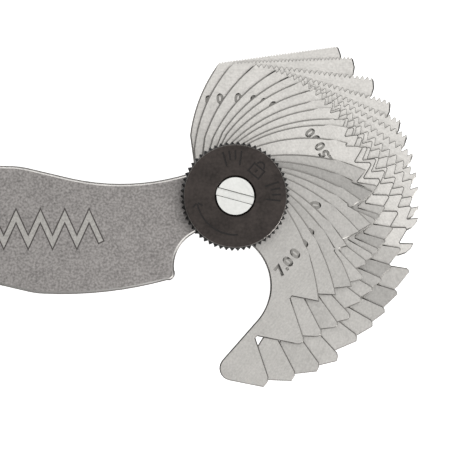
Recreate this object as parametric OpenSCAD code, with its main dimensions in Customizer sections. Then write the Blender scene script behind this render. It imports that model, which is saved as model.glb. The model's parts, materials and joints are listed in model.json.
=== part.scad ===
// Double-ended screw pitch gauge. Two fans of toothed steel leaves, metric on the right and
// inch on the left, turn on two posts and fold between the two shells of one flat steel case.
// The origin is the centre of the rear shell's outer face; the left end is the right end
// turned half a turn about Z.

/* [Case] */
// Distance from the middle of the case to each pivot, along X
pivot_x = 26.9; // [26.5:0.1:30]
// Offset of each pivot from the middle line, along Y
pivot_y = 4.4; // [4:0.1:4.8]
// Thickness of each case shell's sheet
plate_t = 0.8; // [0.5:0.1:1]
// Radius of the round end of the case about each pivot
end_r = 6.6; // [6.4:0.1:7]

/* [Leaves] */
// Thickness of a metric leaf
metric_leaf_t = 0.45; // [0.35:0.01:0.46]
// Thickness of an inch leaf
inch_leaf_t = 0.31; // [0.25:0.01:0.32]
// Height that each whole stack of leaves takes up between the shells
stack_h = 10.5; // [10.5:0.5:12]
// Radius of the round eye of a leaf, about its pivot
eye_r = 6.2; // [5.8:0.1:6.4]
// Radius of the hollow on the inner side of a leaf
throat_r = 6.95; // [6.8:0.05:7]
// Radius of the bowed back edge of a fine leaf
fine_back_r = 21; // [20:0.1:22]
// Radius of the bowed back edge of a coarse leaf
coarse_back_r = 26.5; // [25:0.1:28]
// Pitch from which a leaf has the straight end and rounded crests of a coarse thread
coarse_pitch = 3; // [2.5:0.5:3.5]

/* [Clamp] */
// Radius of the post that the leaves turn on
post_r = 2; // [1.8:0.1:2.1]
// Radial clearance of every turning fit
running_gap = 0.05; // [0.02:0.01:0.09]
// Outer radius of the lock knob
knob_r = 7.12; // [6.9:0.02:7.5]
// Thickness of the lock knob
knob_h = 2.6; // [2.4:0.1:3]
// Number of knurls round the lock knob
knurls = 58; // [40:2:70]
// Radius of the slotted head of the retaining screw
screw_head_r = 2.5; // [2.4:0.1:2.8]

/* [Hidden] */
$fn = 64;

// Thread pitches in millimetres and in threads per inch, from the bottom leaf to the top one
metric_pitches = [0.4, 0.5, 0.7, 0.75, 0.8, 0.9, 1, 1.25, 1.5, 1.75, 2, 2.5, 3, 3.5, 4, 4.5,
    5, 5.5, 6, 6.5, 7];
inch_counts = [42, 40, 38, 36, 34, 32, 30, 28, 27, 26, 24, 22, 20, 18, 16, 15, 14, 13, 12,
    11.5, 11, 10, 9, 8, 7, 6, 5.5, 5, 4.5, 4];
inch = 25.4;
inch_pitches = [for (count = inch_counts) inch / count];
coarsest = 7;

// How each fan is spread at rest: the direction of each leaf's toothed edge, in degrees
metric_fan = [8.1, 2.5, -6.5, -15.5, -22, -27, -33, -39, -43.5, -49.5, -53, -61, -69, -77, -84,
    -90, -97, -107, -114, -122.5, -131.5];
inch_fan_start = 7;
inch_fan_step = 4.75;
inch_fan_scatter = 1.1;
inch_fan = [for (k = [0 : len(inch_counts) - 1])
    inch_fan_start - inch_fan_step * k + inch_fan_scatter * sin(100 * k)];

// Heights, from the outer face of the rear shell upwards
stack_gap = 0.1;
fixed_gap = 0.02;
stack_z = plate_t + stack_gap;
front_z = stack_z + stack_h + stack_gap;
case_h = front_z + plate_t;
washer_t = 0.4;
knob_z = case_h + washer_t + fixed_gap;
knob_top = knob_z + knob_h;
metric_step = stack_h / len(metric_pitches);
inch_step = stack_h / len(inch_counts);

// Leaf outline, in the leaf's own frame: the pivot is at the origin, and the toothed edge runs
// along +X at a height of crest_y
throat_c = [10.2, 6.2];
throat_lean = 1.4;
fine_back_c = [16.5, 0.2];
fine_back_lean = 1.94;
coarse_back_c = [22.1, -0.6];
coarse_back_lean = 0.25;
fine_crest_y = 18.75;
coarse_crest_y = 19.6;
deep_pitch = 5.1;
fine_nose_r = 2.6;
fine_nose_x = 15.4;
coarse_nose_r = 1.65;
tip_x = 17.6;
tip_draw = 0.55;
tip_land = 0.12;
crest_round = 0.1;
root_flat = 0.04;
arm_base_y = 2;
reach = 30;

// Case outline: the arcs of one half, in order round it
pivot = [pivot_x, pivot_y];
neck_c = [12, 36.05];
neck_r = 30;
neck_start = 258;
belly_c = [4.5, 43.6];
belly_r = 52;
belly_start = 285.2;
belly_end = 267.3;
hip_r = 12;
hip_end = 257.5;
notch_c = [23.9, -4.8];
notch_r = 4.9;
notch_end = 185;
heel_c = [18.2, -5.7];
heel_r = 0.95;

// Spine: the flange along the closed edge of each half
spine_end = 281;

// Post, washer and screw
post_head_r = 3.4;
post_head_t = 0.5;
head_clearance = 0.04;
washer_r = 5;
screw_r = 1.25;
screw_head_h = 1.05;
screw_length = 5.5;
tapped_depth = 6;
slot_w = 0.95;
slot_depth = 0.6;
slot_turn = -15;
knob_lift = 0.25;
pocket_gap = 0.15;
pocket_h = 1.4;
knurl_depth = 0.4;
knob_bevel = 0.5;
past_tips = 0.01;
post_top = knob_top - pocket_h + knob_lift;

function metric_name(k) = str("metric_leaf_", floor(metric_pitches[k]), "_",
    floor(10 * metric_pitches[k] + 0.001) % 10,
    round(100 * metric_pitches[k]) % 10);
function inch_name(k) = str("inch_leaf_", floor(inch_counts[k]),
    inch_counts[k] > floor(inch_counts[k]) ? "_5" : "");

leaf_grey = [0.80, 0.79, 0.77];
case_grey = [0.58, 0.57, 0.56];
knob_brown = [0.20, 0.18, 0.17];
bright_steel = [0.90, 0.90, 0.88];

// Points along an arc about centre c, from angle a0 to angle a1
function arc(c, r, a0, a1, steps = 8) =
    [for (i = [0 : steps]) let (a = a0 + (a1 - a0) * i / steps) c + r * [cos(a), sin(a)]];

// Point p turned about the origin by angle a
function turned(p, a) = [p[0] * cos(a) - p[1] * sin(a), p[0] * sin(a) + p[1] * cos(a)];

function angle_of(p) = atan2(p[1], p[0]);

// ---- leaves ----

// Point p of the coarsest leaf, turned back by the given angle for each millimetre of pitch
function leaned(p, rate, pitch) = turned(p, rate * (coarsest - pitch));
function crest_y(pitch) = pitch > deep_pitch ? coarse_crest_y : fine_crest_y;
function last_crest_x(pitch) = tip_x - tip_draw * max(0, pitch - coarse_pitch);

// One tooth of a 60 degree thread: its left root and its rounded crest, centred on x
function tooth(x, y, pitch) =
    let (r = crest_round * pitch, root = root_flat * pitch,
        depth = pitch * cos(30) - r - root, half = pitch / 2 - root * tan(30))
    concat([[x - half, y - depth]],
        arc([x, y - r], r, 150, 30, pitch < coarse_pitch ? 1 : 4),
        [[x + half, y - depth]]);

// Everything below the toothed edge; past the last crest the edge runs straight on
function below_teeth(pitch) =
    let (y = crest_y(pitch), last = last_crest_x(pitch), count = ceil((last + 4) / pitch))
    concat(
        [for (k = [count : -1 : 1]) each tooth(last - k * pitch, y, pitch)],
        [[last - pitch / 2 + root_flat * pitch * tan(30),
            y - pitch * cos(30) + (crest_round + root_flat) * pitch]],
        [[last - crest_round * pitch * cos(30), y - crest_round * pitch / 2], [last, y]],
        [[reach, y], [reach, -reach], [last - (count + 1) * pitch, -reach]]
    );

// Centre of the nose at the tip: a full round on a fine leaf, and on a coarse one a small
// corner that touches the sloping end edge
function nose_centre(pitch, inner_y) =
    pitch < coarse_pitch
        ? [fine_nose_x, inner_y + fine_nose_r]
        : let (edge = cos(30) * (last_crest_x(pitch) + tip_land * pitch)
                + sin(30) * crest_y(pitch),
            y = inner_y + coarse_nose_r)
            [(edge - coarse_nose_r - sin(30) * y) / cos(30), y];

// The arm of the leaf: inner edge, nose and end edge, open towards the teeth and the back
function arm(pitch, throat) =
    let (inner_y = throat[1] + throat_r, fine = pitch < coarse_pitch,
        nose_r = fine ? fine_nose_r : coarse_nose_r, nose_end = fine ? 90 : 30,
        nose = arc(nose_centre(pitch, inner_y), nose_r, -90, nose_end, 8),
        top = nose[len(nose) - 1] + reach * [-sin(nose_end), cos(nose_end)])
    concat([[-reach, arm_base_y], [throat[0], arm_base_y], [throat[0], inner_y]], nose,
        [top, [-reach, top[1]]]);

module leaf_outline(pitch) {
    fine = pitch < coarse_pitch;
    throat = leaned(throat_c, throat_lean, pitch);
    back = fine ? leaned(fine_back_c, fine_back_lean, pitch)
        : leaned(coarse_back_c, coarse_back_lean, pitch);
    difference() {
        union() {
            circle(r = eye_r);
            difference() {
                intersection() {
                    translate(back) circle(r = fine ? fine_back_r : coarse_back_r);
                    polygon(arm(pitch, throat));
                    polygon(below_teeth(pitch));
                }
                translate(throat) circle(r = throat_r);
            }
        }
        circle(r = post_r + running_gap);
    }
}

module leaf(pitch, thickness, direction, z) {
    color(leaf_grey)
        translate(concat(pivot, z))
            rotate(direction)
                linear_extrude(thickness) leaf_outline(pitch);
}

module metric_leaf(k) {
    leaf(metric_pitches[k], metric_leaf_t, metric_fan[k], stack_z + k * metric_step);
}

module inch_leaf(k) {
    rotate(180) leaf(inch_pitches[k], inch_leaf_t, inch_fan[k], stack_z + k * inch_step);
}

// ---- case ----

// Angle at the centre of circle (c, r) between the line to the pivot and the point where the
// circle meets the round end of the case, by the law of cosines
function meeting_angle(c, r) =
    let (d = norm(pivot - c)) acos((r * r + d * d - end_r * end_r) / (2 * r * d));

// Half of the case outline, from the start of the upper neck clockwise to the lower hip
function half_outline() =
    let (neck_end = 360 + angle_of(pivot - neck_c) - meeting_angle(neck_c, neck_r),
        neck = arc(neck_c, neck_r, neck_start, neck_end, 10),
        round_start = angle_of(neck[len(neck) - 1] - pivot),
        notch_start = angle_of(pivot - notch_c) + meeting_angle(notch_c, notch_r),
        notch = arc(notch_c, notch_r, notch_start, notch_end, 10),
        round_stop = angle_of(notch[0] - pivot),
        belly = arc(belly_c, belly_r, belly_start, belly_end, 8),
        hip_c = belly[len(belly) - 1] + hip_r * [-cos(belly_end), -sin(belly_end)])
    concat(neck, arc(pivot, end_r, round_start, round_stop, 24), notch,
        arc(heel_c, heel_r, 20, -75, 4), belly, arc(hip_c, hip_r, belly_end, hip_end, 4));

function case_outline() = concat(half_outline(), [for (p = half_outline()) -p]);

// The strip of sheet that is bent over along the closed edge of one half
function spine_outline() =
    concat(arc(neck_c, neck_r, neck_start, spine_end, 10),
        arc(neck_c, neck_r + plate_t, spine_end, neck_start, 10),
        [hip_inner(), hip_outer()]);

// The ends of the spine at the middle of the case, on its outer edge and one sheet inside it
function hip_outer() = -half_outline()[len(half_outline()) - 1];
function hip_inner() = hip_outer() + plate_t * [cos(neck_start), sin(neck_start)];

module on_both_pivots() {
    for (side = [0, 180]) rotate(side) translate(pivot) children();
}

module case_sheet(z) {
    translate([0, 0, z]) linear_extrude(plate_t) polygon(case_outline());
}

module spines(z, h) {
    for (side = [0, 180]) rotate(side) translate([0, 0, z]) linear_extrude(h)
        polygon(spine_outline());
}

module rear_case_shell() {
    color(case_grey) difference() {
        union() {
            case_sheet(0);
            spines(plate_t, case_h / 2 - plate_t);
        }
        on_both_pivots() {
            translate([0, 0, -1]) cylinder(r = post_r + fixed_gap, h = plate_t + 2);
            translate([0, 0, -1]) cylinder(r = post_head_r + head_clearance, h = post_head_t + 1);
        }
    }
}

module front_case_shell() {
    color(case_grey) difference() {
        union() {
            case_sheet(front_z);
            spines(case_h / 2, front_z - case_h / 2);
        }
        on_both_pivots() translate([0, 0, front_z - 1])
            cylinder(r = post_r + fixed_gap, h = plate_t + 2);
    }
}

// ---- clamp ----

module pivot_posts() {
    color(bright_steel) on_both_pivots() difference() {
        union() {
            cylinder(r = post_head_r, h = post_head_t);
            cylinder(r = post_r, h = post_top);
        }
        translate([0, 0, post_top - tapped_depth]) cylinder(r = screw_r + fixed_gap, h = reach);
    }
}

module clamp_washers() {
    color(bright_steel) on_both_pivots() translate([0, 0, case_h]) difference() {
        cylinder(r = washer_r, h = washer_t);
        translate([0, 0, -1]) cylinder(r = post_r + fixed_gap, h = washer_t + 2);
    }
}

function knurl_outline() =
    [for (i = [0 : 2 * knurls - 1]) let (r = knob_r - knurl_depth * (i % 2))
        r * [cos(180 * i / knurls), sin(180 * i / knurls)]];

module lock_knob() {
    color(knob_brown) translate(concat(pivot, knob_z)) difference() {
        intersection() {
            linear_extrude(knob_h) polygon(knurl_outline());
            rotate_extrude() polygon([[0, 0], [knob_r - knob_bevel, 0],
                [knob_r + past_tips, knob_bevel], [knob_r + past_tips, knob_h - knob_bevel],
                [knob_r - knob_bevel, knob_h], [0, knob_h]]);
        }
        translate([0, 0, -1]) cylinder(r = post_r + running_gap, h = knob_h + 2);
        translate([0, 0, knob_h - pocket_h])
            cylinder(r = screw_head_r + pocket_gap, h = pocket_h + 1);
    }
}

module right_lock_knob() {
    lock_knob();
}

module left_lock_knob() {
    rotate(180) lock_knob();
}

module retaining_screws() {
    color(bright_steel) on_both_pivots() translate([0, 0, post_top]) difference() {
        union() {
            cylinder(r = screw_head_r, h = screw_head_h);
            translate([0, 0, -screw_length]) cylinder(r = screw_r, h = screw_length);
        }
        rotate(slot_turn) translate([-knob_r, -slot_w / 2, screw_head_h - slot_depth])
            cube([2 * knob_r, slot_w, screw_head_h]);
    }
}

rear_case_shell();
front_case_shell();
pivot_posts();
clamp_washers();
right_lock_knob();
left_lock_knob();
retaining_screws();
for (k = [0 : len(metric_pitches) - 1])
    metric_leaf(k);
for (k = [0 : len(inch_pitches) - 1])
    inch_leaf(k);
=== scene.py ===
"""Looks for a double-ended screw pitch gauge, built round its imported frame.

All lengths are in metres, in the frame's own axes: the tool lies on its rear shell, with +Z
towards the knobs. The metric leaves turn on the pivot at +X, the inch leaves on the one at -X,
and the left end is the right end turned half a turn about Z.
"""

import json
import logging
import math
from dataclasses import dataclass, field, replace
from enum import Enum

import bmesh
import bpy
import numpy as np
from mathutils import Matrix, Vector


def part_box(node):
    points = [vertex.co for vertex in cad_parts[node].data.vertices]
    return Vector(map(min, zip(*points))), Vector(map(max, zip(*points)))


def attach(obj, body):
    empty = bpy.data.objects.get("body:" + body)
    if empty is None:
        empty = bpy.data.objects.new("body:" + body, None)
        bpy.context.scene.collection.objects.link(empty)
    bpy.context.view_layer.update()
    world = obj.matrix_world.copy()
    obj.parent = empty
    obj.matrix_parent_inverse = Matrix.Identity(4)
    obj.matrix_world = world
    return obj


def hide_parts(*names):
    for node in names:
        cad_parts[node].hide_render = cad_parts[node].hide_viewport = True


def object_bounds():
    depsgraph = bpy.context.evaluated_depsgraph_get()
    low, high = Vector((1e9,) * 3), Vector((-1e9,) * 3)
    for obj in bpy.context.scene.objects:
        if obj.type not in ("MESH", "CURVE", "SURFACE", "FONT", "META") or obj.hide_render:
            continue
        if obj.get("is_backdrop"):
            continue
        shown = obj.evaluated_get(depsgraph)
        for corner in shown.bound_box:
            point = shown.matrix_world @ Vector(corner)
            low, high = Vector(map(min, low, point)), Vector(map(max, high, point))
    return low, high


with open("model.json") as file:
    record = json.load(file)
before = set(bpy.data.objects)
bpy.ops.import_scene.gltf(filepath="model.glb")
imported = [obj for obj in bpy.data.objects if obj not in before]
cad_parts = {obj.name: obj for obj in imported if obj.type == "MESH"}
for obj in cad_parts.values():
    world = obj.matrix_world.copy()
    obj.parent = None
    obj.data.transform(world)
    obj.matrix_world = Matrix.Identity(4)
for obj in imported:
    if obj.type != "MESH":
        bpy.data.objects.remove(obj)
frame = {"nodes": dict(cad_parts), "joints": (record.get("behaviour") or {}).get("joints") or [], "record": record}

LOG = logging.getLogger("pitch_gauge")
MM = 0.001

# Two points closer than this are one point, and two heights closer than LEVEL are one height
WELD_DISTANCE = 0.0004 * MM
LEVEL = 0.001 * MM
# A face whose normal's Z is past FLAT lies flat; one whose normal's Z is under WALL stands up
FLAT = 0.99
WALL = 0.1
# Material index of the faces that a cut leaves behind; each piece gives them a darker finish, painted shade in the
# recess
CUT = 1
# Faces that turn by less than this are made one
SAME_PLANE = math.radians(0.4)
# Least cosine of half the turn that a line's corner is mitred for
SHARPEST_MITRE = 0.35


class Slot(Enum):
    """The record's material slots."""

    CASE = "case_steel"
    LEAF = "leaf_steel"
    KNOB = "black_oxide"
    BRIGHT = "bright_steel"


class End(Enum):
    """The two ends of the tool; the value is the turn about Z from the right end, in radians."""

    METRIC = 0.0
    INCH = math.pi

    @property
    def pivot(self) -> np.ndarray:
        """Centre of this end's post, as X and Y."""
        joint = "right_knob_turn" if self is End.METRIC else "left_knob_turn"
        found = [j for j in frame["joints"] if j["name"] == joint][0]
        return np.array(found["pos_m"][:2])

    @property
    def knob(self) -> str:
        """Name of this end's knob node."""
        return "right_lock_knob" if self is End.METRIC else "left_lock_knob"


# ---- materials ----

# What an input of a node takes
Value = bpy.types.NodeSocket | float


def socket_names(group: bpy.types.ShaderNodeTree, names: dict[str, tuple[str, str]]) -> None:
    """Adds sockets to a node group.

    Args:
        group: the node group.
        names: socket name to its direction (INPUT or OUTPUT) and socket type.
    """
    for name, (way, kind) in names.items():
        group.interface.new_socket(name=name, in_out=way, socket_type=kind)


def feed(tree: bpy.types.NodeTree, value: Value, slot: bpy.types.NodeSocket) -> None:
    """Links a socket to a node's input, or sets the input to a number."""
    if isinstance(value, bpy.types.NodeSocket):
        tree.links.new(value, slot)
    else:
        slot.default_value = value


def math_node(tree: bpy.types.NodeTree, operation: str, *values: Value) -> bpy.types.NodeSocket:
    """Adds one arithmetic node.

    Args:
        tree: the node tree.
        operation: what the node works out.
        values: what its inputs take, in order.

    Returns:
        The socket of its result.
    """
    node = tree.nodes.new("ShaderNodeMath")
    node.operation = operation
    for value, slot in zip(values, node.inputs):
        feed(tree, value, slot)
    return node.outputs[0]


class GrainGroup:
    """Node group for the surface of rolled or blasted steel.

    Three noises at different sizes are mixed: a slow mottle, a fine speckle and fibres that
    run along X of the given place. It puts out the tinted colour, a roughness and a height.
    """

    NAME = "steel_grain"
    MOTTLE_SCALE = 420.0
    FIBRE_SCALE = 900.0
    FIBRE_STRETCH = 9
    ROUGHNESS_SWING = -0.35

    def tree(self) -> bpy.types.ShaderNodeTree:
        """Builds the group the first time it is asked for.

        Returns:
            The node group.
        """
        found = bpy.data.node_groups.get(self.NAME)
        if found:
            return found
        group = bpy.data.node_groups.new(self.NAME, "ShaderNodeTree")
        socket_names(group, {
            "Place": ("INPUT", "NodeSocketVector"), "Tint": ("INPUT", "NodeSocketColor"),
            "Mottle": ("INPUT", "NodeSocketFloat"), "Speckle": ("INPUT", "NodeSocketFloat"),
            "Fibre": ("INPUT", "NodeSocketFloat"), "Speckle Scale": ("INPUT", "NodeSocketFloat"),
            "Roughness": ("INPUT", "NodeSocketFloat"), "Color": ("OUTPUT", "NodeSocketColor"),
            "Roughness Out": ("OUTPUT", "NodeSocketFloat"), "Height": ("OUTPUT", "NodeSocketFloat"),
        })
        nodes, links = group.nodes, group.links
        given = nodes.new("NodeGroupInput")
        result = nodes.new("NodeGroupOutput")

        def noise(share: str, scale: Value, across: float, detail: float) -> bpy.types.NodeSocket:
            """Adds a noise on the given place, centred on zero.

            Args:
                share: the group's input that it is multiplied by.
                scale: the noise's scale along X.
                across: how many times finer it is along Y.
                detail: the noise's detail.

            Returns:
                The socket of the product.
            """
            mapping = nodes.new("ShaderNodeMapping")
            mapping.inputs["Scale"].default_value = (1, across, 1)
            links.new(given.outputs["Place"], mapping.inputs["Vector"])
            texture = nodes.new("ShaderNodeTexNoise")
            texture.inputs["Detail"].default_value = detail
            feed(group, scale, texture.inputs["Scale"])
            links.new(mapping.outputs["Vector"], texture.inputs["Vector"])
            centred = math_node(group, "SUBTRACT", texture.outputs["Fac"], 0.5)
            return math_node(group, "MULTIPLY", centred, given.outputs[share])

        mottle = noise("Mottle", self.MOTTLE_SCALE, 1, 3.0)
        speckle = noise("Speckle", given.outputs["Speckle Scale"], 1, 2.0)
        fibre = noise("Fibre", self.FIBRE_SCALE, self.FIBRE_STRETCH, 2.0)
        total = math_node(group, "ADD", math_node(group, "ADD", mottle, speckle), fibre)
        scaled = nodes.new("ShaderNodeVectorMath")
        scaled.operation = "SCALE"
        links.new(given.outputs["Tint"], scaled.inputs[0])
        links.new(math_node(group, "ADD", total, 1.0), scaled.inputs["Scale"])
        links.new(scaled.outputs[0], result.inputs["Color"])
        swing = math_node(group, "MULTIPLY", total, self.ROUGHNESS_SWING)
        links.new(math_node(group, "ADD", given.outputs["Roughness"], swing),
                  result.inputs["Roughness Out"])
        links.new(math_node(group, "ADD", speckle, fibre), result.inputs["Height"])
        return group


@dataclass(frozen=True)
class Finish:
    """One metal finish.

    The surface colour is tint x (1 + mottle + speckle + fibre), each of them a noise.
    """

    name: str
    tint: tuple[float, float, float]
    roughness: float
    metallic: float = 1.0
    mottle: float = 0.10
    speckle: float = 0.30
    speckle_scale: float = 5200.0
    fibre: float = 0.0
    bump: float = 0.15
    bump_height: float = 0.02 * MM
    place: str = ""

    def material(self) -> bpy.types.Material:
        """Makes the finish's material the first time it is asked for.

        Returns:
            The material.
        """
        found = bpy.data.materials.get(self.name)
        if found:
            return found
        made = bpy.data.materials.new(self.name)
        made.use_nodes = True
        nodes, links = made.node_tree.nodes, made.node_tree.links
        shader = nodes["Principled BSDF"]
        shader.inputs["Metallic"].default_value = self.metallic
        grain = nodes.new("ShaderNodeGroup")
        grain.node_tree = GrainGroup().tree()
        if self.place:
            where = nodes.new("ShaderNodeAttribute")
            where.attribute_name = self.place
            links.new(where.outputs["Vector"], grain.inputs["Place"])
        else:
            where = nodes.new("ShaderNodeTexCoord")
            links.new(where.outputs["Object"], grain.inputs["Place"])
        grain.inputs["Tint"].default_value = (*self.tint, 1.0)
        for name in ("Mottle", "Speckle", "Fibre", "Roughness"):
            grain.inputs[name].default_value = getattr(self, name.lower())
        grain.inputs["Speckle Scale"].default_value = self.speckle_scale
        links.new(grain.outputs["Color"], shader.inputs["Base Color"])
        links.new(grain.outputs["Roughness Out"], shader.inputs["Roughness"])
        bump = nodes.new("ShaderNodeBump")
        bump.inputs["Strength"].default_value = self.bump
        bump.inputs["Distance"].default_value = self.bump_height
        links.new(grain.outputs["Height"], bump.inputs["Height"])
        links.new(bump.outputs["Normal"], shader.inputs["Normal"])
        return made


def leaf_finish(name: str, grey: float, roughness: float) -> Finish:
    """A leaf's satin steel of the given lightness, slightly warm."""
    return Finish(name, tuple(grey * part for part in LEAF_HUE), roughness, mottle=0.20,
                  speckle=0.42, speckle_scale=3600.0, fibre=0.22, bump=0.10,
                  place="leaf_place")


LEAF_HUE = (1.0, 0.972, 0.925)


class Tone(Enum):
    """The greys that the leaves of one set come in."""

    LIGHT = leaf_finish("leaf_steel_light", 0.68, 0.44)
    SATIN = leaf_finish("leaf_steel_satin", 0.50, 0.44)
    GREY = leaf_finish("leaf_steel_grey", 0.475, 0.46)
    DARK = leaf_finish("leaf_steel_dark", 0.41, 0.48)


# Darker tint on the leaves' chamfers and walls: painted shade, for the dark lines along their edges
LEAF_EDGE_SHADE = Finish("leaf_edge_painted_shade", (0.27, 0.26, 0.245), 0.26, mottle=0.1, speckle=0.2,
                   place="leaf_place")
# Darker tint on the walls and floor of the stamped figures: painted shade in the recess
STAMP_SHADE = Finish("stamp_painted_shade", (0.34, 0.33, 0.31), 0.55, mottle=0.2, speckle=0.4)
CASE = Finish("case_blasted_steel", (0.338, 0.320, 0.309), 0.56, mottle=0.24, speckle=1.1,
              speckle_scale=3400.0, bump=0.35)
# Darker tint on the case's outer edge chamfer: painted shade
CASE_ROLL_SHADE = Finish("case_edge_painted_shade", (0.22, 0.21, 0.20), 0.34, mottle=0.2, speckle=0.3)
# Paler tint on the case's inner edge chamfer: a painted highlight
CASE_EDGE_HIGHLIGHT = Finish("case_edge_painted_highlight", (0.50, 0.485, 0.465), 0.32, mottle=0.2, speckle=0.3)
# Dark tint on the walls and floor of the engraved mark: painted shade in the groove
CASE_GROOVE_SHADE = Finish("case_groove_painted_shade", (0.13, 0.12, 0.115), 0.6, mottle=0.1, speckle=0.3)
CASE_ETCHED = Finish("case_etched_field", (0.47, 0.455, 0.43), 0.56, mottle=0.14, speckle=0.6,
                     speckle_scale=3400.0, bump=0.2)
KNOB = Finish("knob_black_oxide", (0.0425, 0.0335, 0.0295), 0.46, metallic=0.55, mottle=1.1,
              speckle=0.9, speckle_scale=2600.0, bump=0.2)
# Paler tint on the small step round the knob's face: partly edge wear, partly a painted highlight
KNOB_RIM_WEAR_AND_HIGHLIGHT = Finish("knob_rim_wear_and_highlight", (0.26, 0.24, 0.225), 0.35, metallic=0.9, mottle=0.6,
                   speckle=0.5, speckle_scale=3000.0)
# Darker tint on the knurled side of the same black oxide: painted shade
KNOB_KNURL_SHADE = Finish("knob_knurls_painted_shade", (0.007, 0.006, 0.0055), 0.6, metallic=0.3, mottle=0.6,
                    speckle=0.5, speckle_scale=3000.0)
# Darker tint on the walls and floor of the knob's engraving: painted shade in the recess
KNOB_MARK_SHADE = Finish("knob_mark_painted_shade", (0.018, 0.015, 0.014), 0.5, metallic=0.4)
BRIGHT = Finish("bright_turned_steel", (0.82, 0.82, 0.79), 0.30, mottle=0.14, speckle=0.22,
                speckle_scale=3000.0, bump=0.06)
# Darker tint on the screws' slot walls and edge chamfers: painted shade
BRIGHT_EDGE_SHADE = Finish("bright_steel_edge_painted_shade", (0.22, 0.22, 0.21), 0.30, mottle=0.05, speckle=0.12)


# ---- mesh helpers ----


def merged_copy(node: str) -> bmesh.types.BMesh:
    """A CAD node's mesh with its loose triangles joined and its flat faces made whole.

    Args:
        node: name of the CAD node.

    Returns:
        A bmesh with one closed shell per solid.
    """
    work = bmesh.new()
    work.from_mesh(frame["nodes"][node].data)
    bmesh.ops.remove_doubles(work, verts=work.verts, dist=WELD_DISTANCE)
    bmesh.ops.dissolve_limit(work, angle_limit=SAME_PLANE, verts=work.verts, edges=work.edges,
                             delimit=set())
    return work


def finished_piece(name: str, work: bmesh.types.BMesh, body: str, nodes: list[str],
                   finishes: list[Finish], sharp_angle: float = 24.0) -> bpy.types.Object:
    """Turns a bmesh into a dressed piece that rides on a body and stands for CAD nodes.

    Args:
        name: the piece's name.
        work: its mesh, in the frame; it is freed.
        body: the body that carries it.
        nodes: the CAD nodes that it stands for.
        finishes: one finish per material index.
        sharp_angle: edges that turn by more degrees than this are sharp.

    Returns:
        The new object.
    """
    mesh = bpy.data.meshes.new(name)
    work.to_mesh(mesh)
    work.free()
    mesh.shade_smooth()
    mesh.set_sharp_from_angle(angle=math.radians(sharp_angle))
    piece = bpy.data.objects.new(name, mesh)
    bpy.context.scene.collection.objects.link(piece)
    for finish in finishes:
        mesh.materials.append(finish.material())
    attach(piece, body)
    if nodes:
        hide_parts(*nodes)
    return piece


def chamfer(work: bmesh.types.BMesh, edges: list[bmesh.types.BMEdge], width: float) -> None:
    """Cuts the given edges off at half their angle, even where two cuts meet."""
    bmesh.ops.bevel(work, geom=edges, offset=width, segments=1, profile=0.5, affect="EDGES",
                    clamp_overlap=False)


def add_prism(work: bmesh.types.BMesh, outline: np.ndarray, low: float, high: float) -> None:
    """Adds a closed prism over an outline in X and Y, which may run either way round.

    Args:
        work: the mesh that it is added to.
        outline: the outline's corners.
        low: height of the prism's lower face.
        high: height of its upper face.
    """
    n = len(outline)
    x, y = outline.T
    if (x * np.roll(y, -1) - y * np.roll(x, -1)).sum() < 0:
        outline = outline[::-1]
    rings = [[work.verts.new((x, y, z)) for x, y in outline] for z in (low, high)]
    work.faces.new(rings[0][::-1])
    work.faces.new(rings[1])
    for i in range(n):
        j = (i + 1) % n
        work.faces.new((rings[0][i], rings[0][j], rings[1][j], rings[1][i]))


def cut(body: bmesh.types.BMesh, tool: bmesh.types.BMesh, indices: int) -> bmesh.types.BMesh:
    """Takes one shape out of another; the walls and floor of the cut get the material CUT, whose finish on each
    piece is darker, painted shade in the recess.

    Args:
        body: the mesh that is cut; it is freed.
        tool: the shape that is taken out; it is freed.
        indices: how many material indices the two use, which the cut keeps.

    Returns:
        The cut mesh.
    """
    for face in tool.faces:
        face.material_index = CUT
    objects = []
    for name, work in (("cut_body", body), ("cut_tool", tool)):
        mesh = bpy.data.meshes.new(name)
        work.to_mesh(mesh)
        work.free()
        for k in range(indices):
            mesh.materials.append(bpy.data.materials.get(f"cut_{k}")
                                  or bpy.data.materials.new(f"cut_{k}"))
        made = bpy.data.objects.new(name, mesh)
        bpy.context.scene.collection.objects.link(made)
        objects.append(made)
    target, cutter = objects
    boolean = target.modifiers.new("cut", "BOOLEAN")
    boolean.operation = "DIFFERENCE"
    boolean.solver = "EXACT"
    boolean.use_self = True
    boolean.object = cutter
    bpy.context.view_layer.update()
    evaluated = target.evaluated_get(bpy.context.evaluated_depsgraph_get())
    result = bmesh.new()
    result.from_mesh(evaluated.to_mesh())
    evaluated.to_mesh_clear()
    for made in objects:
        mesh = made.data
        bpy.data.objects.remove(made)
        bpy.data.meshes.remove(mesh)
    return result


def turned(points: np.ndarray, angle: float) -> np.ndarray:
    """Points in X and Y turned about the origin by an angle in radians."""
    c, s = math.cos(angle), math.sin(angle)
    return points @ np.array([[c, s], [-s, c]])


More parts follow.
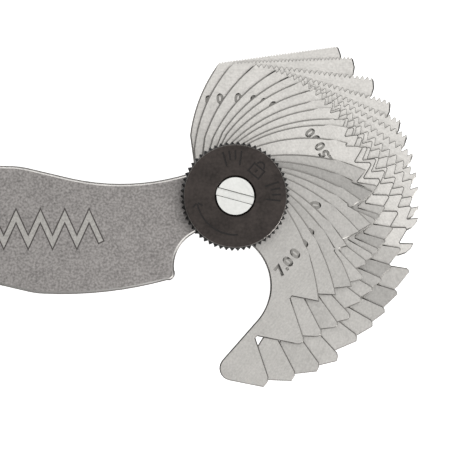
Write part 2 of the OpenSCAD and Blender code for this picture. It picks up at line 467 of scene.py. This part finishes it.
class Glyphs:
    """Closed solid figures and a decimal point, at a font size of one."""

    HALF_HEIGHT = 0.5

    def __init__(self, boldness: float = 0.05) -> None:
        """Starts with no figures made.

        Args:
            boldness: how far each outline is pushed outwards.
        """
        self.boldness = boldness
        self.made: dict[str, tuple[np.ndarray, list[list[int]]]] = {}

    def solid(self, sign: str) -> tuple[np.ndarray, list[list[int]]]:
        """Makes one figure the first time it is asked for.

        Args:
            sign: the figure.

        Returns:
            Its corners and its faces; it is centred on X and Z and stands on Y = 0.
        """
        if sign not in self.made:
            curve = bpy.data.curves.new("figure", "FONT")
            curve.body = sign
            curve.align_x = "CENTER"
            curve.resolution_u = 3
            curve.offset = self.boldness
            curve.extrude = self.HALF_HEIGHT
            holder = bpy.data.objects.new("figure", curve)
            bpy.context.scene.collection.objects.link(holder)
            bpy.context.view_layer.update()
            mesh = holder.evaluated_get(bpy.context.evaluated_depsgraph_get()).to_mesh()
            corners = np.array([v.co[:] for v in mesh.vertices])
            faces = [list(p.vertices) for p in mesh.polygons]
            self.made[sign] = (corners, faces)
            bpy.data.objects.remove(holder)
            bpy.data.curves.remove(curve)
        return self.made[sign]


GLYPHS = Glyphs()


# ---- leaves ----


@dataclass(frozen=True)
class Stamp:
    """Where a leaf's number is stamped: the place of its last figure, and the figure size."""

    across: float
    out: float
    pitch: float
    height: float
    depth: float = 0.07 * MM
    point_width: float = 0.10
    capital_height: float = 0.76

    def tool(self, text: str, pivot: np.ndarray, heading: float, top: float) -> bmesh.types.BMesh:
        """The solid figures that are pressed into the leaf.

        The text reads backwards along the toothed edge, with its feet away from the pivot.

        Args:
            text: the number.
            pivot: the leaf's pivot, as X and Y.
            heading: direction of the toothed edge, in radians.
            top: height of the leaf's upper face.

        Returns:
            A bmesh of closed figures that reach from the stamp's floor to above the leaf.
        """
        work = bmesh.new()
        size = self.height / self.capital_height
        along, last_width = self.across, None
        for sign in reversed(text):
            width = self.pitch * (self.point_width if sign == "." else 1.0)
            if last_width is not None:
                along += (width + last_width) / 2
            last_width = width
            corners, faces = GLYPHS.solid(sign)
            flat = corners[:, :2] * size - np.array([0.0, self.height / 2])
            local = np.stack([along - flat[:, 0], self.out - flat[:, 1]], axis=1)
            place = turned(local, heading) + pivot
            z = top + corners[:, 2] / GLYPHS.HALF_HEIGHT * self.depth
            verts = [work.verts.new((x, y, h)) for (x, y), h in zip(place, z)]
            for face in faces:
                work.faces.new([verts[i] for i in face])
        bmesh.ops.remove_doubles(work, verts=work.verts, dist=LEVEL)
        bmesh.ops.recalc_face_normals(work, faces=work.faces)
        return work


FINE_STAMP = Stamp(-0.6 * MM, 13.6 * MM, 1.15 * MM, 1.4 * MM)
COARSE_STAMP = Stamp(0.25 * MM, 10.95 * MM, 1.43 * MM, 1.5 * MM)


@dataclass
class Leaf:
    """One toothed leaf: a punched blank with a rolled upper edge and its stamped number.

    Its own frame has the pivot at the origin and X along the toothed edge.
    """

    # Material index of the chamfers and walls, which take the darker edge finish, painted shade
    EDGE = 2
    GRAIN_SPREAD = (7.0 * MM, 31.0)

    node: str
    number: str
    pitch: float
    heading: float
    end: End
    tone: Tone
    stamp_shift: float = 0.0
    coarse_pitch: float = 2.9 * MM
    roll: float = 0.20 * MM
    corner: float = 0.30 * MM
    tooth_roll: float = 0.06
    largest_tooth_roll: float = 0.15 * MM
    eye_reach: float = 3.0 * MM
    toothed_from: float = 17.6 * MM
    tooth_depth: float = 0.9
    tooth_margin: float = 1.0 * MM
    crest_band: float = 0.3

    def local(self, points: np.ndarray) -> np.ndarray:
        """Points in X and Y, taken to the leaf's own frame."""
        return turned(points - self.end.pivot, -self.heading - self.end.value)

    def square_corner(self, work: bmesh.types.BMesh) -> None:
        """Merges the points of the cut-off tooth at the back corner, on each face of the leaf.

        Args:
            work: the leaf's mesh.
        """
        place = np.array([v.co[:] for v in work.verts])
        local = self.local(place[:, :2])
        crests = local[local[:, 1] > local[:, 1].max() - self.crest_band * self.pitch]
        corner = crests[crests[:, 0].argmin()]
        near = [v for v, p in zip(work.verts, local) if np.hypot(*(p - corner)) < self.corner]
        middle = place[:, 2].mean()
        for chosen in ([v for v in near if v.co.z < middle], [v for v in near if v.co.z > middle]):
            if len(chosen) > 1:
                mean = sum(v.co.x for v in chosen) / len(chosen)
                spot = min(chosen, key=lambda v: abs(v.co.x - mean))
                bmesh.ops.pointmerge(work, verts=chosen, merge_co=spot.co.copy())

    def roll_edges(self, work: bmesh.types.BMesh, top: float, toothed: bool) -> None:
        """Rounds the edge of the upper face, on the teeth or on the rest of the outline.

        Args:
            work: the leaf's mesh.
            top: height of the upper face.
            toothed: True for the teeth, False for the rest.
        """
        chosen = []
        root = self.toothed_from - self.tooth_depth * self.pitch + self.tooth_margin
        for edge in work.edges:
            ends = np.array([v.co[:] for v in edge.verts])
            if np.abs(ends[:, 2] - top).max() > LEVEL or len(edge.link_faces) != 2:
                continue
            lift = sorted(abs(face.normal.z) for face in edge.link_faces)
            if lift[0] > WALL or lift[1] < FLAT:
                continue
            local = self.local(ends[:, :2])
            if np.hypot(*local.T).max() < self.eye_reach:
                continue
            if (local[:, 1].min() > root) == toothed:
                chosen.append(edge)
        width = self.roll
        if toothed:
            width = min(self.tooth_roll * self.pitch, self.largest_tooth_roll)
        chamfer(work, chosen, width)

    def build(self) -> bpy.types.Object:
        """Builds the leaf.

        Returns:
            The finished leaf, riding on its own body.
        """
        work = merged_copy(self.node)
        top = max(v.co.z for v in work.verts)
        stamp = COARSE_STAMP if self.pitch > self.coarse_pitch else FINE_STAMP
        stamp = replace(stamp, across=stamp.across + self.stamp_shift)
        tool = stamp.tool(self.number, self.end.pivot, self.heading + self.end.value, top)
        self.square_corner(work)
        self.roll_edges(work, top, True)
        self.roll_edges(work, top, False)
        # Chamfers and walls take the darker edge finish, painted shade
        for face in work.faces:
            if abs(face.normal.z) < FLAT:
                face.material_index = self.EDGE
        work = cut(work, tool, self.EDGE + 1)
        piece = finished_piece(self.node + "_steel", work, self.node, [self.node],
                               [self.tone.value, STAMP_SHADE, LEAF_EDGE_SHADE])
        self.mark_place(piece)
        return piece

    def mark_place(self, piece: bpy.types.Object) -> None:
        """Stores each point's place along and across the leaf, which its grain follows.

        Args:
            piece: the finished leaf.
        """
        mesh = piece.data
        place = np.empty(len(mesh.vertices) * 3, np.float32)
        mesh.vertices.foreach_get("co", place)
        place = place.reshape(-1, 3)
        by_figure, by_pitch = self.GRAIN_SPREAD
        place[:, :2] = self.local(place[:, :2])
        place[:, 0] += by_figure * len(self.number) + by_pitch * self.pitch
        mesh.attributes.new("leaf_place", "FLOAT_VECTOR", "POINT").data.foreach_set(
            "vector", place.ravel())


@dataclass
class Fan:
    """All the leaves of one end."""

    end: End
    headings: list[float]
    numbers: list[str]
    pitches: list[float]
    nodes: list[str]
    tones: list[Tone]
    stamp_shifts: list[float]

    def build(self) -> list[bpy.types.Object]:
        """Builds every leaf of the fan.

        Returns:
            The finished leaves, from the bottom one up.
        """
        made = []
        for node, number, pitch, heading, tone, shift in zip(
                self.nodes, self.numbers, self.pitches, self.headings, self.tones,
                self.stamp_shifts):
            leaf = Leaf(node, number, pitch * MM, math.radians(heading), self.end, tone,
                        shift * MM)
            made.append(leaf.build())
        LOG.info("%s fan: %d leaves", self.end.name.lower(), len(made))
        return made


METRIC_PITCHES = [0.4, 0.5, 0.7, 0.75, 0.8, 0.9, 1.0, 1.25, 1.5, 1.75, 2.0, 2.5, 3.0, 3.5, 4.0,
                  4.5, 5.0, 5.5, 6.0, 6.5, 7.0]
METRIC_HEADINGS = [8.1, 2.5, -6.5, -15.5, -22, -27, -33, -39, -43.5, -49.5, -53, -61, -69, -77,
                   -84, -90, -97, -107, -114, -122.5, -131.5]
INCH_COUNTS = [42, 40, 38, 36, 34, 32, 30, 28, 27, 26, 24, 22, 20, 18, 16, 15, 14, 13, 12, 11.5,
               11, 10, 9, 8, 7, 6, 5.5, 5, 4.5, 4]
METRIC_STAMP_SHIFTS = [-0.4, -0.2, 0.1, 0, -0.1, 0, 0.8, 0.8, 0.7, 0.8, 0, 0.35, 0.9, 0.9, 0.9,
                       0.8, -0.5, 0.9, -0.1, 0, 0]
METRIC_TONES = [Tone.LIGHT] * 12 + [Tone.SATIN, Tone.DARK, Tone.GREY, Tone.SATIN, Tone.SATIN,
                                    Tone.SATIN, Tone.GREY, Tone.SATIN, Tone.SATIN]


def metric_fan() -> Fan:
    """The 21 metric leaves at the right end."""
    numbers = [f"{p:.2f}" for p in METRIC_PITCHES]
    nodes = ["metric_leaf_" + n.replace(".", "_") for n in numbers]
    return Fan(End.METRIC, METRIC_HEADINGS, numbers, METRIC_PITCHES, nodes, METRIC_TONES,
               METRIC_STAMP_SHIFTS)


def inch_fan() -> Fan:
    """Sets up the 30 inch leaves, spread by a steady step with a little scatter.

    Returns:
        The fan at the left end.
    """
    start, step, scatter, phase = 7, 4.75, 1.1, math.radians(100)
    headings = [start - step * k + scatter * math.sin(phase * k)
                for k in range(len(INCH_COUNTS))]
    numbers = [f"{c:g}" for c in INCH_COUNTS]
    nodes = ["inch_leaf_" + n.replace(".", "_") for n in numbers]
    order = [Tone.LIGHT, Tone.LIGHT, Tone.SATIN, Tone.LIGHT, Tone.GREY]
    tones = [order[k % len(order)] for k in range(len(INCH_COUNTS))]
    shifts = [0.3 + 0.35 * math.sin(1.3 * k) for k in range(len(INCH_COUNTS))]
    return Fan(End.INCH, headings, numbers, [25.4 / c for c in INCH_COUNTS], nodes, tones,
               shifts)


# ---- case ----


def mitres(before: np.ndarray, after: np.ndarray) -> np.ndarray:
    """Works out how a line's corners move when the line is made wider.

    Each corner moves along the bisector of its two normals, by half the width over the
    cosine of half the turn.

    Args:
        before: for each corner, the step that leads to it.
        after: for each corner, the step that leads away from it.

    Returns:
        For each corner, its move for a half width of one.
    """
    sides = []
    for step in (before, after):
        ahead = step / np.linalg.norm(step, axis=1)[:, None]
        sides.append(np.stack([ahead[:, 1], -ahead[:, 0]], axis=1))
    bisector = sides[0] + sides[1]
    bisector /= np.linalg.norm(bisector, axis=1)[:, None]
    cosine = np.clip((bisector * sides[1]).sum(axis=1), SHARPEST_MITRE, 1.0)
    return bisector / cosine[:, None]


@dataclass
class CaseShell:
    """A sheet steel shell with softened edges; the front one carries an engraved mark.

    Its edge is chamfered twice: a dark outer chamfer (ROLL), painted shade, and a bright inner one (EDGE), a
    painted highlight.
    """

    ETCHED = 2
    EDGE = 3
    ROLL = 4

    node: str
    marked: bool
    edge: float = 0.24 * MM
    inner_edge: float = 0.10 * MM
    mark_half_length: float = 9.5 * MM
    mark_crest: float = 1.85 * MM
    mark_root: float = -1.6 * MM
    mark_teeth: int = 6
    band: float = 0.78 * MM
    line: float = 0.17 * MM
    depth: float = 0.05 * MM
    mark_reach: float = 3.2 * MM
    hole_reach: float = 4.0 * MM
    least_turn: float = math.radians(35)
    inner_slope: float = 0.8
    sharp_angle: float = 14.0

    def soft_edges(self, work: bmesh.types.BMesh, outer: float) -> list[bmesh.types.BMEdge]:
        """The edges round the sheet's outer face, but for the holes at the pivots.

        Args:
            work: the shell's mesh.
            outer: height of the outer face.

        Returns:
            The edges that are chamfered next.
        """
        chosen = []
        for edge in work.edges:
            ends = [v.co for v in edge.verts]
            if max(abs(end.z - outer) for end in ends) > LEVEL or len(edge.link_faces) != 2:
                continue
            if edge.calc_face_angle(0.0) < self.least_turn:
                continue
            middle = np.array(((ends[0] + ends[1]) / 2)[:2])
            if min(np.hypot(*(middle - end.pivot)) for end in End) >= self.hole_reach:
                chosen.append(edge)
        return chosen

    def mark_outline(self) -> np.ndarray:
        """Draws a band of even width along a zigzag thread profile.

        Returns:
            The band's corners, counterclockwise.
        """
        k = np.arange(2 * self.mark_teeth + 1)
        x = self.mark_half_length * (1 - k / self.mark_teeth)
        y = np.where(k % 2 == 0, self.mark_root, self.mark_crest)
        middle = np.stack([x, y], axis=1)
        steps = np.diff(middle, axis=0)
        aside = self.band / 2 * mitres(np.vstack([steps[:1], steps]),
                                       np.vstack([steps, steps[-1:]]))
        return np.vstack([middle + aside, (middle - aside)[::-1]])

    def etch(self, work: bmesh.types.BMesh) -> None:
        """Gives the field inside the engraved outline its paler finish.

        Args:
            work: the engraved shell's mesh.
        """
        for face in work.faces:
            if face.material_index or face.normal.z < FLAT:
                continue
            reach = np.abs([v.co[:2] for v in face.verts]).max(axis=0)
            if reach[0] < self.mark_half_length + self.band and reach[1] < self.mark_reach:
                face.material_index = self.ETCHED

    def build(self) -> bpy.types.Object:
        """Builds the shell.

        Returns:
            The finished shell, riding on the case.
        """
        work = merged_copy(self.node)
        heights = [v.co.z for v in work.verts]
        outer = max(heights) if self.marked else min(heights)
        for width in (self.edge, self.inner_edge):
            chamfer(work, self.soft_edges(work, outer), width)
        # Steep chamfer faces take the dark finish, painted shade; flatter ones the pale finish, a painted
        # highlight
        for face in work.faces:
            lift = abs(face.normal.z)
            if WALL < lift < FLAT:
                face.material_index = self.EDGE if lift > self.inner_slope else self.ROLL
        if self.marked:
            # The mark's walls and floor take the dark groove finish, painted shade
            tool = bmesh.new()
            line_round(tool, self.mark_outline(), self.line, outer - self.depth,
                       outer + self.depth)
            work = cut(work, tool, self.ROLL + 1)
            self.etch(work)
        return finished_piece(self.node + "_steel", work, "case", [self.node],
                              [CASE, CASE_GROOVE_SHADE, CASE_ETCHED, CASE_EDGE_HIGHLIGHT, CASE_ROLL_SHADE],
                              self.sharp_angle)


def line_round(work: bmesh.types.BMesh, outline: np.ndarray, width: float, low: float,
               high: float) -> None:
    """Adds a closed ribbon of even width that follows a closed outline, as one solid.

    Args:
        work: the mesh that it is added to.
        outline: the outline's corners.
        width: width of the ribbon.
        low: height of its lower face.
        high: height of its upper face.
    """
    steps = np.roll(outline, -1, axis=0) - outline
    aside = width / 2 * mitres(np.roll(steps, 1, axis=0), steps)
    n = len(outline)
    rings = {}
    for side in (-1, 1):
        for z in (low, high):
            rings[side, z] = [work.verts.new((x, y, z)) for x, y in outline + side * aside]
    loops = [rings[-1, low], rings[1, low], rings[1, high], rings[-1, high]]
    for a, b in zip(loops, loops[1:] + loops[:1]):
        for i in range(n):
            j = (i + 1) % n
            work.faces.new((a[i], a[j], b[j], b[i]))
    bmesh.ops.recalc_face_normals(work, faces=work.faces)


# ---- clamp ----


@dataclass
class LockKnob:
    """A knurled, blackened lock knob with an arrow, a padlock and index lines cut in it."""

    RIM_WEAR_AND_HIGHLIGHT = 2
    KNURL_SHADE = 3
    ARROW_TIP = math.radians(192)
    ARROW_TAIL = math.radians(274)
    PADLOCK = math.radians(50)
    LONG_LINES = (-6, 18, 82, 106)
    SHORT_LINES = (2, 10, 90, 98)
    RIM_STEP_FALL = 0.7

    end: End
    knurls: int = 58
    knurl_depth: float = 0.42 * MM
    face_rim: float = 0.54 * MM
    rim_step_width: float = 0.10 * MM
    rim_fall: float = 0.50 * MM
    columns_per_knurl: int = 8
    engraving: float = 0.08 * MM
    line: float = 0.22 * MM
    ring: float = 5.03 * MM
    bore: float = 2.05 * MM
    pocket: float = 2.65 * MM
    pocket_depth: float = 1.4 * MM
    pocket_edge: float = 0.06 * MM
    head_lead: float = 0.12 * MM
    head_gap: float = 0.10 * MM
    head_width: float = 0.62 * MM
    head_length: float = 0.42 * MM
    padlock_ring: float = 4.55 * MM
    padlock_half_width: float = 0.85 * MM
    padlock_heights: tuple[float, float] = (-0.95 * MM, 0.30 * MM)
    bow_radius: float = 0.52 * MM
    bow_height: float = 0.50 * MM
    keyhole: tuple[float, float] = (-0.55 * MM, -0.10 * MM)
    line_starts: tuple[float, float] = (4.0 * MM, 4.7 * MM)
    line_stop: float = 5.9 * MM
    sharp_angle: float = 30.0

    def profile(self, low: float, high: float, outer: float) -> tuple[np.ndarray, np.ndarray]:
        """The knob's section.

        Args:
            low: height of the knob's lower face.
            high: height of its upper face.
            outer: radius over the knurls.

        Returns:
            Radius and height of each point, and how far the knurl bites there, from 0 to 1.
        """
        rim = outer - self.face_rim
        fall = self.rim_fall
        rim_step = self.rim_step_width
        points = [(self.bore, low, 0), (rim, low, 0), (outer, low + fall, 1),
                  (outer, (low + high) / 2, 1), (outer, high - fall, 1),
                  (rim + rim_step, high - self.RIM_STEP_FALL * rim_step, 0), (rim, high, 0),
                  (self.pocket + self.pocket_edge, high, 0),
                  (self.pocket, high - self.pocket_edge, 0),
                  (self.pocket, high - self.pocket_depth, 0),
                  (self.bore, high - self.pocket_depth, 0)]
        table = np.array(points)
        return table[:, :2], table[:, 2]

    def build(self) -> bpy.types.Object:
        """Builds the knob.

        The body is the profile carried round the axis: at angle a its radius is the
        profile's less the knurl depth x a triangle wave of a, where the knurl bites.

        Returns:
            The finished knob, riding on its own body.
        """
        node = self.end.knob
        low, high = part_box(node)
        outer = (high.x - low.x) / 2
        centre = self.end.pivot
        section, bite = self.profile(low.z, high.z, outer)
        count = self.knurls * self.columns_per_knurl
        angle = np.arange(count) * 2 * math.pi / count
        phase = (angle * self.knurls / (2 * math.pi)) % 1.0
        wave = np.abs(2 * phase - 1.0)
        radius = section[:, 0][:, None] - self.knurl_depth * bite[:, None] * (1 - wave)[None, :]
        x = centre[0] + radius * np.cos(angle)[None, :]
        y = centre[1] + radius * np.sin(angle)[None, :]
        z = np.repeat(section[:, 1][:, None], count, axis=1)
        work = bmesh.new()
        grid = [[work.verts.new((x[i, j], y[i, j], z[i, j])) for j in range(count)]
                for i in range(len(section))]
        for i in range(len(section)):
            upper = grid[(i + 1) % len(section)]
            for j in range(count):
                k = (j + 1) % count
                work.faces.new((grid[i][j], grid[i][k], upper[k], upper[j]))
        bmesh.ops.recalc_face_normals(work, faces=work.faces)
        for face in work.faces:
            middle = face.calc_center_median()
            reach = math.hypot(middle.x - centre[0], middle.y - centre[1])
            # Faces beyond the rim: the knurled side and its slopes take the darker knurl finish, painted shade
            if reach > outer - self.face_rim:
                # The small rim step takes the paler finish, partly wear and partly a painted highlight
                rim_step = middle.z > high.z - self.rim_step_width
                face.material_index = self.RIM_WEAR_AND_HIGHLIGHT if rim_step else self.KNURL_SHADE
        # The engraving's walls and floor take the darker mark finish, painted shade
        tool = bmesh.new()
        self.engrave(tool, high.z)
        work = cut(work, tool, self.KNURL_SHADE + 1)
        return finished_piece(node + "_knurled", work, frame_body(node), [node],
                              [KNOB, KNOB_MARK_SHADE, KNOB_RIM_WEAR_AND_HIGHLIGHT, KNOB_KNURL_SHADE], self.sharp_angle)

    def engrave(self, tool: bmesh.types.BMesh, top: float) -> None:
        """Adds the shapes that are cut into the face: the arrow, the padlock and the lines."""
        low, high = top - self.engraving, top + self.engraving
        for shape in (*self.arrow(), *self.bow(), *self.index_lines()):
            add_prism(tool, turned(shape, self.end.value) + self.end.pivot, low, high)
        line_round(tool, turned(self.lock_body(), self.end.value) + self.end.pivot, self.line,
                   low, high)

    def stroke(self, start: np.ndarray, stop: np.ndarray) -> np.ndarray:
        """A straight line of the engraving's width, as an outline."""
        ahead = (stop - start) / np.linalg.norm(stop - start)
        side = np.array([-ahead[1], ahead[0]]) * self.line / 2
        return np.array([start + side, start - side, stop - side, stop + side])

    def arrow(self) -> list[np.ndarray]:
        """Draws a thin clockwise arrow round the lower left of the face.

        Returns:
            The outlines of its shaft and of the two wings of its open head.
        """
        out = np.array([math.cos(self.ARROW_TIP), math.sin(self.ARROW_TIP)])
        ahead = np.array([out[1], -out[0]])
        at = self.ring * out + self.head_lead * ahead
        wings = [self.stroke(at + side * self.head_gap * out, at + side * self.head_width * out
                             - self.head_length * ahead) for side in (-1, 1)]
        return [ring_band(self.ring, self.line, self.ARROW_TIP, self.ARROW_TAIL), *wings]

    def upright(self, shape: np.ndarray) -> np.ndarray:
        """A shape drawn round the padlock's own centre, placed at the upper right."""
        return turned(shape + np.array([0.0, self.padlock_ring]), self.PADLOCK - math.pi / 2)

    def lock_body(self) -> np.ndarray:
        """Outline of the padlock's body."""
        half = self.padlock_half_width
        low, high = self.padlock_heights
        return self.upright(np.array([[-half, low], [half, low], [half, high], [-half, high]]))

    def bow(self) -> list[np.ndarray]:
        """The padlock's bow and its keyhole."""
        ring = ring_band(self.bow_radius, self.line, 0.0, math.pi, 12)
        hole = self.stroke(*[np.array([0.0, height]) for height in self.keyhole])
        return [self.upright(ring + np.array([0.0, self.bow_height])), self.upright(hole)]

    def index_lines(self) -> list[np.ndarray]:
        """Draws short radial lines on both sides of the padlock.

        Returns:
            The lines' outlines.
        """
        made = []
        for inner, group in zip(self.line_starts, (self.LONG_LINES, self.SHORT_LINES)):
            for degrees in group:
                way = np.array([math.cos(math.radians(degrees)), math.sin(math.radians(degrees))])
                made.append(self.stroke(inner * way, self.line_stop * way))
        return made


def ring_band(radius: float, width: float, start: float, stop: float,
              steps: int = 24) -> np.ndarray:
    """A strip of even width along an arc, as a counterclockwise outline.

    Args:
        radius: radius of the strip's middle line.
        width: its width.
        start: angle where it starts, in radians.
        stop: angle where it stops, in radians.
        steps: how many straight steps follow the arc.

    Returns:
        The outline's corners.
    """
    angle = np.linspace(start, stop, steps + 1)
    way = np.stack([np.cos(angle), np.sin(angle)], axis=1)
    return np.vstack([(radius + width / 2) * way, (radius - width / 2) * way[::-1]])


def frame_body(node: str) -> str:
    """The body that a CAD node belongs to."""
    for body, nodes in frame["record"]["behaviour"]["bodies"].items():
        if node in nodes:
            return body
    raise ValueError(node)


@dataclass
class SlottedScrews:
    """The two retaining screws, with bright faces and darker slot walls and edges, whose darker finish is painted
    shade.
    """

    EDGE = 1

    node: str = "retaining_screws"
    edge: float = 0.07 * MM
    deepest_slot: float = 0.9 * MM
    least_turn: float = math.radians(50)
    sharp_angle: float = 30.0

    def build(self) -> bpy.types.Object:
        """Builds the screws.

        Returns:
            The finished screws, riding on the case.
        """
        work = merged_copy(self.node)
        top = max(v.co.z for v in work.verts)
        floor = min(f.calc_center_median().z for f in work.faces if f.normal.z > FLAT
                    and top - f.calc_center_median().z < self.deepest_slot)
        chosen = [e for e in work.edges if len(e.link_faces) == 2
                  and e.calc_face_angle(0.0) > self.least_turn
                  and min(v.co.z for v in e.verts) > top - LEVEL]
        chamfer(work, chosen, self.edge)
        # Slot walls and chamfers above the slot floor take the darker finish, painted shade
        for face in work.faces:
            if face.calc_center_median().z > floor and abs(face.normal.z) < FLAT:
                face.material_index = self.EDGE
        return finished_piece(self.node + "_turned", work, "case", [self.node],
                              [BRIGHT, BRIGHT_EDGE_SHADE], self.sharp_angle)


@dataclass
class TurnedParts:
    """Posts and washers, which keep their CAD shape and get softened edges."""

    nodes: dict[str, float] = field(default_factory=lambda: {
        "pivot_posts": 0.10 * MM, "clamp_washers": 0.06 * MM})
    least_turn: float = math.radians(40)

    def dress(self) -> None:
        """Joins the loose triangles, rounds the edges and sets the bright finish."""
        for node, width in self.nodes.items():
            part = frame["nodes"][node]
            weld = part.modifiers.new("join", "WELD")
            weld.merge_threshold = WELD_DISTANCE
            soft = part.modifiers.new("soft_edges", "BEVEL")
            soft.width = width
            soft.segments = 2
            soft.limit_method = "ANGLE"
            soft.angle_limit = self.least_turn
            part.data.materials.clear()
            part.data.materials.append(BRIGHT.material())
            LOG.info("dressed %s", node)


# ---- stage ----


@dataclass(frozen=True)
class Lamp:
    """A rectangular lamp that points at the tool."""

    name: str
    size: tuple[float, float]
    power: float
    place: tuple[float, float, float]


@dataclass
class Studio:
    """A pale floor, soft lamps on the near and far sides, a bright sky and the camera."""

    floor_size: float = 1.6
    floor_gap: float = 0.02 * MM
    floor_grey: float = 0.93
    floor_roughness: float = 0.9
    floor_glow: float = 0.75
    lamps: tuple[Lamp, ...] = (
        Lamp("key", (0.30, 0.30), 0.5, (0.20, -0.22, 0.34)),
        Lamp("low", (0.10, 0.10), 0.22, (0.29, -0.18, 0.07)),
        Lamp("strip", (0.50, 0.06), 0.22, (0.0, 0.34, 0.34)))
    lamp_target: tuple[float, float, float] = (0.02, 0.0, 0.0)
    zenith: float = 0.95
    horizon: float = 0.10
    near_side: float = 0.75
    lean: float = 0.75
    height_step: tuple[float, float] = (0.50, 0.86)
    nearness_step: tuple[float, float] = (0.60, 0.95)
    near_way: tuple[float, float, float] = (-0.15, -1.0, 0.1)
    lens: float = 135.0
    camera_place: tuple[float, float, float] = (0.01507, 0.0, 0.2383)
    camera_target: tuple[float, float, float] = (0.0264, 0.0, 0.01135)

    def build(self) -> None:
        """Makes the whole stage."""
        self.floor()
        self.light()
        self.camera()

    def floor(self) -> None:
        """A flat pale floor under the tool."""
        half = self.floor_size / 2
        mesh = bpy.data.meshes.new("floor")
        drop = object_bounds()[0].z - self.floor_gap
        corners = [(-half, -half, drop), (half, -half, drop), (half, half, drop),
                   (-half, half, drop)]
        mesh.from_pydata(corners, [], [(0, 1, 2, 3)])
        made = bpy.data.materials.new("floor_white")
        made.use_nodes = True
        shader = made.node_tree.nodes["Principled BSDF"]
        shader.inputs["Base Color"].default_value = (*[self.floor_grey] * 3, 1.0)
        shader.inputs["Roughness"].default_value = self.floor_roughness
        shader.inputs["Emission Color"].default_value = (1.0, 1.0, 1.0, 1.0)
        shader.inputs["Emission Strength"].default_value = self.floor_glow
        mesh.materials.append(made)
        floor = bpy.data.objects.new("floor", mesh)
        bpy.context.scene.collection.objects.link(floor)
        floor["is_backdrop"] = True

    def light(self) -> None:
        """The key lamp, a low lamp beside it, a strip lamp on the far side and the sky."""
        for lamp in self.lamps:
            data = bpy.data.lights.new(lamp.name, "AREA")
            data.shape = "RECTANGLE"
            data.size, data.size_y = lamp.size
            data.energy = lamp.power
            holder = bpy.data.objects.new(lamp.name, data)
            holder.location = lamp.place
            aim = Vector(self.lamp_target) - Vector(lamp.place)
            holder.rotation_euler = aim.to_track_quat("-Z", "Y").to_euler()
            bpy.context.scene.collection.objects.link(holder)
        bpy.context.scene.world = self.sky()

    def sky(self) -> bpy.types.World:
        """A sky that is bright overhead and on the near side and dark round the horizon.

        Radiance = (horizon + (zenith - horizon) x s(height) + near_side x s(nearness)) x
        (1 + lean x Y), where s is a smooth step of the direction's Z, or of how far it points
        to the near side.

        Returns:
            The world.
        """
        world = bpy.data.worlds.new("studio")
        world.use_nodes = True
        tree = world.node_tree
        nodes, links = tree.nodes, tree.links
        place = nodes.new("ShaderNodeTexCoord")

        def step(way: tuple[float, float, float], start: float, stop: float,
                 gain: float) -> bpy.types.NodeSocket:
            """Adds a smooth step of how far the direction points the given way.

            Args:
                way: the way.
                start: where the step starts.
                stop: where it ends.
                gain: its height.

            Returns:
                The socket of its result.
            """
            dot = nodes.new("ShaderNodeVectorMath")
            dot.operation = "DOT_PRODUCT"
            links.new(place.outputs["Generated"], dot.inputs[0])
            dot.inputs[1].default_value = Vector(way).normalized()
            ramp = nodes.new("ShaderNodeMapRange")
            ramp.interpolation_type = "SMOOTHSTEP"
            for name, value in (("From Min", start), ("From Max", stop), ("To Min", 0.0),
                                ("To Max", gain)):
                ramp.inputs[name].default_value = value
            links.new(dot.outputs["Value"], ramp.inputs["Value"])
            return ramp.outputs["Result"]

        height = step((0.0, 0.0, 1.0), *self.height_step, self.zenith - self.horizon)
        nearness = step(self.near_way, *self.nearness_step, self.near_side)
        level = math_node(tree, "ADD", math_node(tree, "ADD", height, nearness), self.horizon)
        parts = nodes.new("ShaderNodeSeparateXYZ")
        links.new(place.outputs["Generated"], parts.inputs[0])
        leaned = math_node(tree, "MULTIPLY_ADD", parts.outputs["Y"], self.lean, 1.0)
        links.new(math_node(tree, "MULTIPLY", level, leaned),
                  nodes["Background"].inputs["Strength"])
        nodes["Background"].inputs["Color"].default_value = (1.0, 1.0, 1.0, 1.0)
        return world

    def camera(self) -> None:
        """A camera high above the tool, looking down with a slight lean to the right."""
        data = bpy.data.cameras.new("camera")
        data.lens = self.lens
        data.sensor_width = 36.0
        data.clip_start = 0.01
        data.clip_end = 5.0
        camera = bpy.data.objects.new("camera", data)
        place = Vector(self.camera_place)
        back = (place - Vector(self.camera_target)).normalized()
        right = Vector((0.0, 1.0, 0.0)).cross(back).normalized()
        up = back.cross(right)
        camera.matrix_world = Matrix.Translation(place) @ Matrix(
            (right, up, back)).transposed().to_4x4()
        bpy.context.scene.collection.objects.link(camera)
        bpy.context.scene.camera = camera


def main() -> None:
    """Builds every piece in order."""
    logging.basicConfig(level=logging.INFO, format="%(name)s: %(message)s")
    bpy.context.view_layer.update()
    Studio().build()
    metric_fan().build()
    inch_fan().build()
    for node, marked in (("rear_case_shell", False), ("front_case_shell", True)):
        CaseShell(node, marked).build()
        LOG.info("built %s", node)
    for end in End:
        LockKnob(end).build()
        LOG.info("built %s", end.knob)
    SlottedScrews().build()
    TurnedParts().dress()
    bpy.context.scene.view_settings.view_transform = "Standard"


if __name__ == "__main__":
    main()
